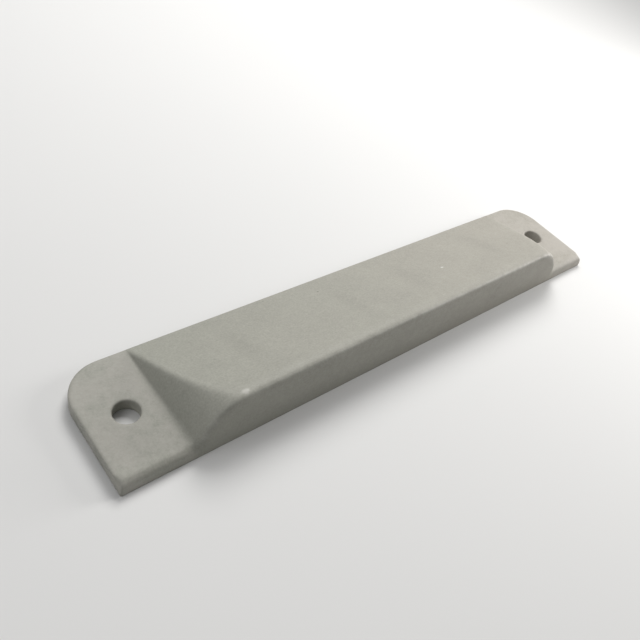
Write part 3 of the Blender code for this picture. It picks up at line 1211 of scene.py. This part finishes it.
@dataclass
class FoamWedge:
    """Soft wedge that presses the antenna down: rounded, and pinched in between its corners."""

    side: Side
    grid: float = 0.45 * MM
    rounding: int = 5
    pinch: float = 0.35 * MM
    sharp_angle: float = 60.0

    def build(self, material: bpy.types.Material) -> bpy.types.Object:
        """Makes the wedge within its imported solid.

        Args:
            material: The foam.

        Returns:
            The finished piece.
        """
        end = self.side.name.lower()
        node = f"foam_wedge_{end}"
        piece = merged_copy(node, f"foam_{end}")
        piece.data.materials.clear()
        piece.data.materials.append(material)
        remesh = piece.modifiers.new("cells", "REMESH")
        remesh.mode = "VOXEL"
        remesh.voxel_size = self.grid
        soften = piece.modifiers.new("soften", "SMOOTH")
        soften.factor = 0.5
        soften.iterations = self.rounding
        apply(piece)
        low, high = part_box(node)
        middle, half = (low + high) / 2, (high - low) / 2
        for vertex in piece.data.vertices:
            share = [(vertex.co[i] - middle[i]) / half[i] for i in range(3)]
            slack = (1 - share[2] ** 2) * self.pinch
            vertex.co.x -= slack * share[0] * (1 - share[1] ** 2)
            vertex.co.y -= slack * share[1] * (1 - share[0] ** 2)
        smooth(piece, self.sharp_angle)
        declare(piece, "foam", node)
        return piece


@dataclass(frozen=True)
class Antenna:
    """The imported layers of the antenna, which keep their meshes and get their finishes."""

    foil: CopperFoil = CopperFoil("copper_foil")
    joint: TinSolder = TinSolder("tin_solder")
    board: GlassLaminate = GlassLaminate("glass_laminate")
    case: MouldingResin = MouldingResin("chip_case")
    drop: MouldingResin = MouldingResin("potting_drop", roughness=0.16, relief=0.004 * MM, grain=0.9 * MM)

    def dress(self) -> None:
        """Gives each packed layer its finish."""
        copper = self.foil.material()
        solder = self.joint.material()
        finishes = {
            "ground_plane": copper,
            "matching_loop": copper,
            "antenna_core": self.board.material(),
            "chip": self.case.material(),
            "chip_glob_top": self.drop.material(),
        }
        for side in Side:
            end = side.name.lower()
            finishes[f"radiator_{end}"] = copper
            finishes[f"shorting_strap_{end}"] = copper
            finishes[f"solder_{end}"] = solder
        for node, material in finishes.items():
            bpy.data.objects[node].material_slots[0].material = material
            LOG.info("%s: dressed in %s", node, material.name)


# Studio


@dataclass(frozen=True)
class Lamp:
    """A soft rectangular light that shines at the tag."""

    name: str
    azimuth: float
    elevation: float
    distance: float
    size: float
    power: float
    colour: Colour = (1.0, 1.0, 1.0)

    def build(self) -> None:
        """Makes the light. Azimuth 0 stands at -Y and 90 at +X."""
        data = bpy.data.lights.new(self.name, "AREA")
        data.shape = "SQUARE"
        data.size = self.size
        data.energy = self.power
        data.color = self.colour
        turn, lift = math.radians(self.azimuth), math.radians(self.elevation)
        away = Vector((math.sin(turn) * math.cos(lift), -math.cos(turn) * math.cos(lift), math.sin(lift)))
        lamp = bpy.data.objects.new(self.name, data)
        lamp.location = away * self.distance
        lamp.rotation_euler = (-away).to_track_quat("-Z", "Y").to_euler()
        bpy.context.scene.collection.objects.link(lamp)


@dataclass(frozen=True)
class Studio:
    """Floor, lights and camera."""

    floor_half: float = 1.5
    eye: Colour = (-108.15 * MM, -69.30 * MM, 114.64 * MM)
    turn: Colour = (45.005, -13.883, -39.288)
    lens: float = 37.354
    shift: tuple[float, float] = (-0.0173, -0.0069)
    nearest: float = 5 * MM
    world_level: float = 0.17
    lamps: tuple[Lamp, ...] = (
        Lamp("key", 140.0, 50.0, 0.5, 0.25, 2.15, (1.0, 0.99, 0.975)),
        Lamp("back", 180.0, 58.0, 0.6, 0.3, 0.45),
        Lamp("side", 75.0, 20.0, 0.3, 0.12, 0.60, (1.0, 0.985, 0.965)),
        Lamp("fill", -100.0, 40.0, 0.8, 0.5, 1.75, (0.985, 0.99, 1.0)),
    )

    def _floor(self) -> None:
        """Lays the plain floor."""
        sweep = bmesh.new()
        bmesh.ops.create_grid(sweep, x_segments=8, y_segments=8, size=self.floor_half)
        mesh = mesh_of(sweep, "floor")
        mesh.materials.append(PaperFloor("paper_floor").material())
        new_object("floor", mesh)

    def _camera(self) -> None:
        """Makes the camera."""
        data = bpy.data.cameras.new("camera")
        data.lens = self.lens
        data.shift_x, data.shift_y = self.shift
        data.clip_start = self.nearest
        camera = bpy.data.objects.new("camera", data)
        camera.location = self.eye
        camera.rotation_euler = Euler([math.radians(angle) for angle in self.turn], "XYZ")
        bpy.context.scene.collection.objects.link(camera)
        bpy.context.scene.camera = camera

    def build(self) -> None:
        """Makes everything around the tag."""
        world = bpy.data.worlds.new("world")
        world.use_nodes = True
        backdrop = world.node_tree.nodes["Background"]
        backdrop.inputs["Strength"].default_value = self.world_level
        backdrop.inputs["Color"].default_value = (1.0, 1.0, 1.0, 1.0)
        bpy.context.scene.world = world
        bpy.context.scene.view_settings.view_transform = "Standard"
        self._floor()
        for lamp in self.lamps:
            lamp.build()
        self._camera()


# The whole tag


def housing_sizes() -> HousingSizes:
    """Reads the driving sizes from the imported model.

    The rule's ridge is sharp before it is rounded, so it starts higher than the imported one.

    Returns:
        The housing's sizes.
    """
    low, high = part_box("housing")
    record = frame["record"]
    seat = next(mount for mount in record["mounts"] if mount["name"] == "right_ear_seat")
    opening = next(space for space in record["physics"]["openings"] if space["name"] == "right_screw_hole")
    first, last = opening["box_m"]
    wedge_low, wedge_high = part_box("foam_wedge_right")
    rib_half, rounding = 0.6 * MM, 0.68 * MM
    return HousingSizes(
        length=high.x - low.x,
        width=high.y - low.y,
        ear_thickness=seat["pos_m"][2],
        ridge_height=high.z + rounding,
        hole_place=(first[0] + last[0]) / 2,
        sink_inner=wedge_low.x - SOLID_GAP - rib_half,
        sink_outer=wedge_high.x + SOLID_GAP + rib_half,
    )


def main() -> None:
    """Builds the tag piece by piece, then the studio."""
    logging.basicConfig(level=logging.INFO, format="%(name)s: %(message)s")
    for name in ("Cube", "Light", "Camera"):
        if name in bpy.data.objects:
            bpy.data.objects.remove(bpy.data.objects[name])
    sizes = housing_sizes()
    ribs = (-sizes.sink_outer, -sizes.sink_inner, sizes.sink_inner, sizes.sink_outer)
    Housing(sizes).build(MouldedPlastic(
        "moulded_plastic",
        sink_marks=ribs,
        sink_reach=7 * MM,
        bloom_share=0.42,
        bloom_start=sizes.crease_place - MM,
        marks=(
            # Pale spot on the left ridge corner: a painted highlight.
            Mark((-50.9 * MM, -12.1 * MM, 12.0 * MM), (0.9 * MM, 0.6 * MM), (0.56, 0.55, 0.52), 0.45),
            Mark((21.3 * MM, -0.9 * MM, 8.4 * MM), (0.7 * MM, 0.35 * MM), (0.72, 0.72, 0.71), 0.6),
            Mark((-10.1 * MM, 14.3 * MM, 2.6 * MM), (0.5 * MM, 0.5 * MM), (0.06, 0.05, 0.04), 0.85),
            Mark((-13.6 * MM, 8.8 * MM, 5.0 * MM), (0.35 * MM, 0.3 * MM), (0.10, 0.09, 0.07), 0.5),
        ),
    ))
    dull, dusty = (0.262, 0.262, 0.230), (0.272, 0.267, 0.235)
    BaseCover().build(MouldedPlastic("cover_plastic_dull", dull, dusty, roughness=0.7))
    SealantBead().build(CuredSealant("cured_sealant"))
    foam = CellularFoam("cellular_foam").material()
    for side in Side:
        FoamWedge(side).build(foam)
    Antenna().dress()
    Studio().build()


if __name__ == "__main__":
    main()
